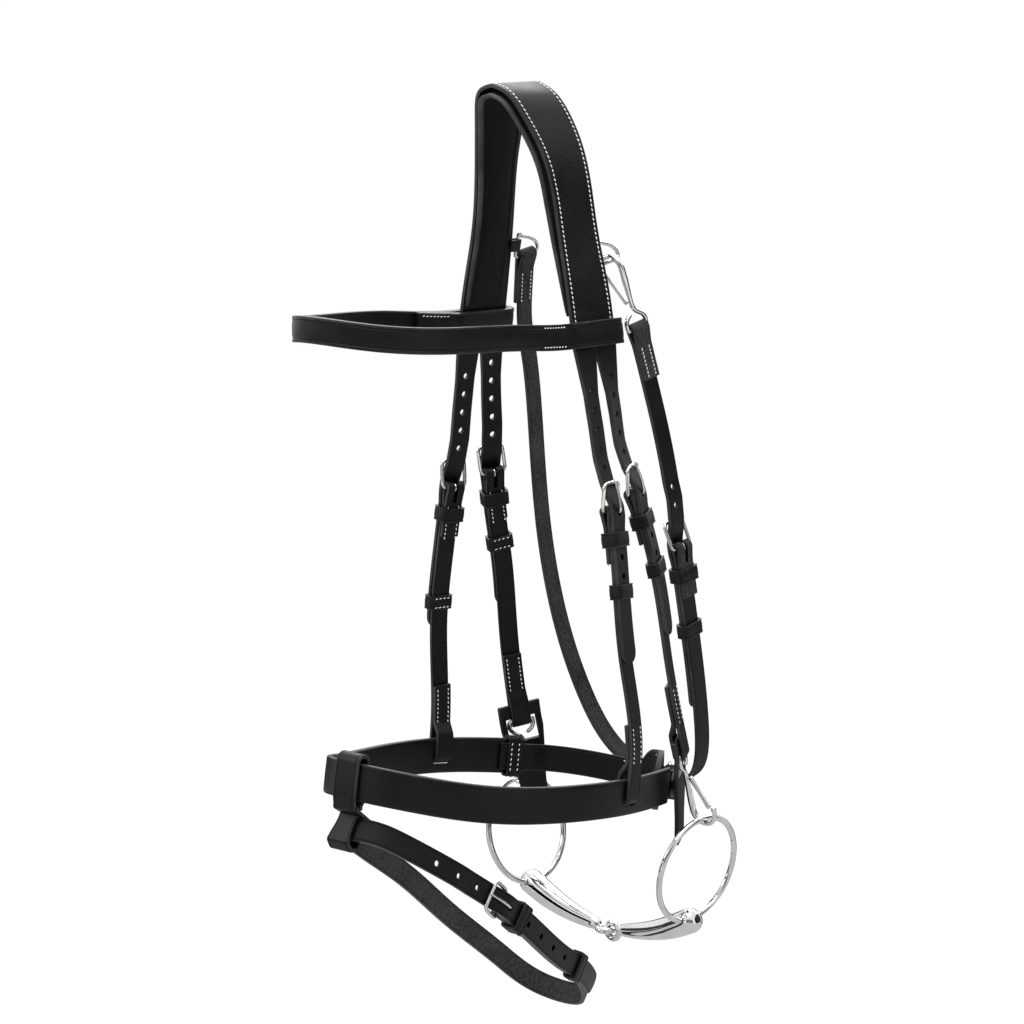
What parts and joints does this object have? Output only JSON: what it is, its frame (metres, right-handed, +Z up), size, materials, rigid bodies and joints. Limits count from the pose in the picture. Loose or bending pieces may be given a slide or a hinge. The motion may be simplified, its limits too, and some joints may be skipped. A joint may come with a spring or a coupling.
{
  "type": "horse bridle",
  "caption": "English riding bridle: crown, browband, cheekpieces, noseband with flash, throatlatch and jointed loose-ring bit on snap clips.",
  "frame": {"origin": "middle of the crown pad's underside, where the bridle rests on what it hangs from", "axes": "+Z up, -Y the way the horse faces, +X the horse's near (left) side"},
  "size_m": [0.1924, 0.3467, 0.6267],
  "materials": {
    "strap_leather": "satin black",
    "pad_leather": "soft black",
    "buckle_nickel": "bright nickel plate",
    "bit_steel": "polished stainless steel"
  },
  "bodies": {
    "bridle": {"headpiece": "strap_leather", "headpiece_padding": "pad_leather", "browband": "strap_leather", "dee_ring_near": "buckle_nickel", "dee_tab_near": "strap_leather", "dee_ring_far": "buckle_nickel", "dee_tab_far": "strap_leather", "hanger_buckle_near": "buckle_nickel", "noseband_hanger_near": "strap_leather", "hanger_near_fixed_keeper": "strap_leather", "cheek_buckle_near": "buckle_nickel", "cheekpiece_near": "strap_leather", "cheek_near_fixed_keeper": "strap_leather", "clip_guard_near": "strap_leather", "hanger_buckle_far": "buckle_nickel", "noseband_hanger_far": "strap_leather", "hanger_far_fixed_keeper": "strap_leather", "cheek_buckle_far": "buckle_nickel", "cheekpiece_far": "strap_leather", "cheek_far_fixed_keeper": "strap_leather", "clip_guard_far": "strap_leather", "noseband": "strap_leather", "noseband_buckle": "buckle_nickel", "noseband_chape": "strap_leather", "noseband_rear_strap": "strap_leather", "noseband_fixed_keeper": "strap_leather", "chin_pad": "pad_leather", "noseband_rear_loop": "strap_leather", "bit_clip_near": "bit_steel", "bit_clip_far": "bit_steel", "throat_clip": "bit_steel", "throat_buckle": "buckle_nickel", "throat_upper": "strap_leather", "throatlatch": "strap_leather", "throat_fixed_keeper": "strap_leather", "flash_buckle": "buckle_nickel", "flash_strap": "strap_leather", "flash_fixed_keeper": "strap_leather", "flash_tab": "strap_leather"},
    "hanger_tongue_near": {"hanger_tongue_near": "buckle_nickel"},
    "hanger_tongue_far": {"hanger_tongue_far": "buckle_nickel"},
    "cheek_tongue_near": {"cheek_tongue_near": "buckle_nickel"},
    "cheek_tongue_far": {"cheek_tongue_far": "buckle_nickel"},
    "noseband_tongue": {"noseband_tongue": "buckle_nickel"},
    "throat_tongue": {"throat_tongue": "buckle_nickel"},
    "flash_tongue": {"flash_tongue": "buckle_nickel"},
    "hanger_near_running_keeper": {"hanger_near_running_keeper": "strap_leather"},
    "hanger_far_running_keeper": {"hanger_far_running_keeper": "strap_leather"},
    "cheek_near_running_keeper": {"cheek_near_running_keeper": "strap_leather"},
    "cheek_far_running_keeper": {"cheek_far_running_keeper": "strap_leather"},
    "throat_running_keeper": {"throat_running_keeper": "strap_leather"},
    "flash_running_keeper": {"flash_running_keeper": "strap_leather"},
    "bit_clip_near_gate": {"bit_clip_near_gate": "bit_steel"},
    "bit_clip_far_gate": {"bit_clip_far_gate": "bit_steel"},
    "throat_clip_gate": {"throat_clip_gate": "bit_steel"},
    "mouthpiece_near": {"mouthpiece_near": "bit_steel"},
    "mouthpiece_far": {"mouthpiece_far": "bit_steel"},
    "bit_ring_near": {"bit_ring_near": "bit_steel"},
    "bit_ring_far": {"bit_ring_far": "bit_steel"}
  },
  "joints": [
    {"name": "hanger_tongue_near_hinge", "type": "hinge", "parent": "bridle", "child": "hanger_tongue_near", "pos_m": [0.07058, 0.01395, -0.26126], "axis": [-0.2037, 0.9788, -0.0215], "range_deg": [0, 4]},
    {"name": "hanger_tongue_far_hinge", "type": "hinge", "parent": "bridle", "child": "hanger_tongue_far", "pos_m": [-0.07058, 0.01395, -0.26126], "axis": [-0.2037, -0.9788, 0.0215], "range_deg": [0, 4]},
    {"name": "cheek_tongue_near_hinge", "type": "hinge", "parent": "bridle", "child": "cheek_tongue_near", "pos_m": [0.06283, 0.04377, -0.25372], "axis": [-0.4085, 0.9014, 0.1438], "range_deg": [0, 4]},
    {"name": "cheek_tongue_far_hinge", "type": "hinge", "parent": "bridle", "child": "cheek_tongue_far", "pos_m": [-0.06283, 0.04377, -0.25372], "axis": [-0.4085, -0.9014, -0.1438], "range_deg": [0, 4]},
    {"name": "noseband_tongue_hinge", "type": "hinge", "parent": "bridle", "child": "noseband_tongue", "pos_m": [0.02946, 0.11794, -0.46235], "axis": [0.0636, -0.2097, -0.9757], "range_deg": [0, 4]},
    {"name": "throat_tongue_hinge", "type": "hinge", "parent": "bridle", "child": "throat_tongue", "pos_m": [0.06356, 0.09151, -0.29515], "axis": [-0.0025, -0.9828, -0.1847], "range_deg": [0, 4]},
    {"name": "flash_tongue_hinge", "type": "hinge", "parent": "bridle", "child": "flash_tongue", "pos_m": [0.04641, -0.06139, -0.51096], "axis": [-0.0122, 0.5882, 0.8086], "range_deg": [0, 4]},
    {"name": "hanger_near_running_keeper_slide", "type": "slide", "parent": "bridle", "child": "hanger_near_running_keeper", "axis": [0.1294, -0.0324, -0.9911], "range_m": [-0.004, 0.004]},
    {"name": "hanger_far_running_keeper_slide", "type": "slide", "parent": "bridle", "child": "hanger_far_running_keeper", "axis": [-0.1211, 0.0207, -0.9924], "range_m": [-0.004, 0.004]},
    {"name": "cheek_near_running_keeper_slide", "type": "slide", "parent": "bridle", "child": "cheek_near_running_keeper", "axis": [0.0547, 0.2429, -0.9685], "range_m": [-0.004, 0.004]},
    {"name": "cheek_far_running_keeper_slide", "type": "slide", "parent": "bridle", "child": "cheek_far_running_keeper", "axis": [-0.0547, 0.2429, -0.9685], "range_m": [-0.004, 0.004]},
    {"name": "throat_running_keeper_slide", "type": "slide", "parent": "bridle", "child": "throat_running_keeper", "axis": [-0.054, 0.2544, -0.9656], "range_m": [-0.004, 0.004]},
    {"name": "flash_running_keeper_slide", "type": "slide", "parent": "bridle", "child": "flash_running_keeper", "axis": [-0.3345, 0.8171, -0.4695], "range_m": [-0.004, 0.004]},
    {"name": "bit_clip_near_gate_hinge", "type": "hinge", "parent": "bridle", "child": "bit_clip_near_gate", "pos_m": [0.07746, 0.08508, -0.44622], "axis": [0, 0.9701, 0.2429], "range_deg": [0, 12], "stiffness_Nm_per_rad": 0.02},
    {"name": "bit_clip_far_gate_hinge", "type": "hinge", "parent": "bridle", "child": "bit_clip_far_gate", "pos_m": [-0.07746, 0.08508, -0.44622], "axis": [0, -0.9701, -0.2429], "range_deg": [0, 12], "stiffness_Nm_per_rad": 0.02},
    {"name": "throat_clip_gate_hinge", "type": "hinge", "parent": "bridle", "child": "throat_clip_gate", "pos_m": [0.04689, 0.05614, -0.13305], "axis": [-0.0627, 0.9664, 0.2494], "range_deg": [0, 12], "stiffness_Nm_per_rad": 0.02},
    {"name": "bit_swing", "type": "hinge", "parent": "bridle", "child": "mouthpiece_near", "pos_m": [0, 0.09303, -0.47797], "axis": [1, 0, 0], "range_deg": [-8, 8]},
    {"name": "bit_ring_near_spin", "type": "hinge", "parent": "mouthpiece_near", "child": "bit_ring_near", "pos_m": [0.07846, 0.09208, -0.51002], "axis": [0.9816, 0, -0.1908], "continuous": true},
    {"name": "mouthpiece_centre_joint", "type": "hinge", "parent": "mouthpiece_near", "child": "mouthpiece_far", "pos_m": [0, 0.09208, -0.56685], "axis": [0, 1, 0], "range_deg": [0, 2.5]},
    {"name": "bit_ring_far_spin", "type": "hinge", "parent": "mouthpiece_far", "child": "bit_ring_far", "pos_m": [-0.07846, 0.09208, -0.51002], "axis": [0.9816, 0, 0.1908], "continuous": true}
  ]
}
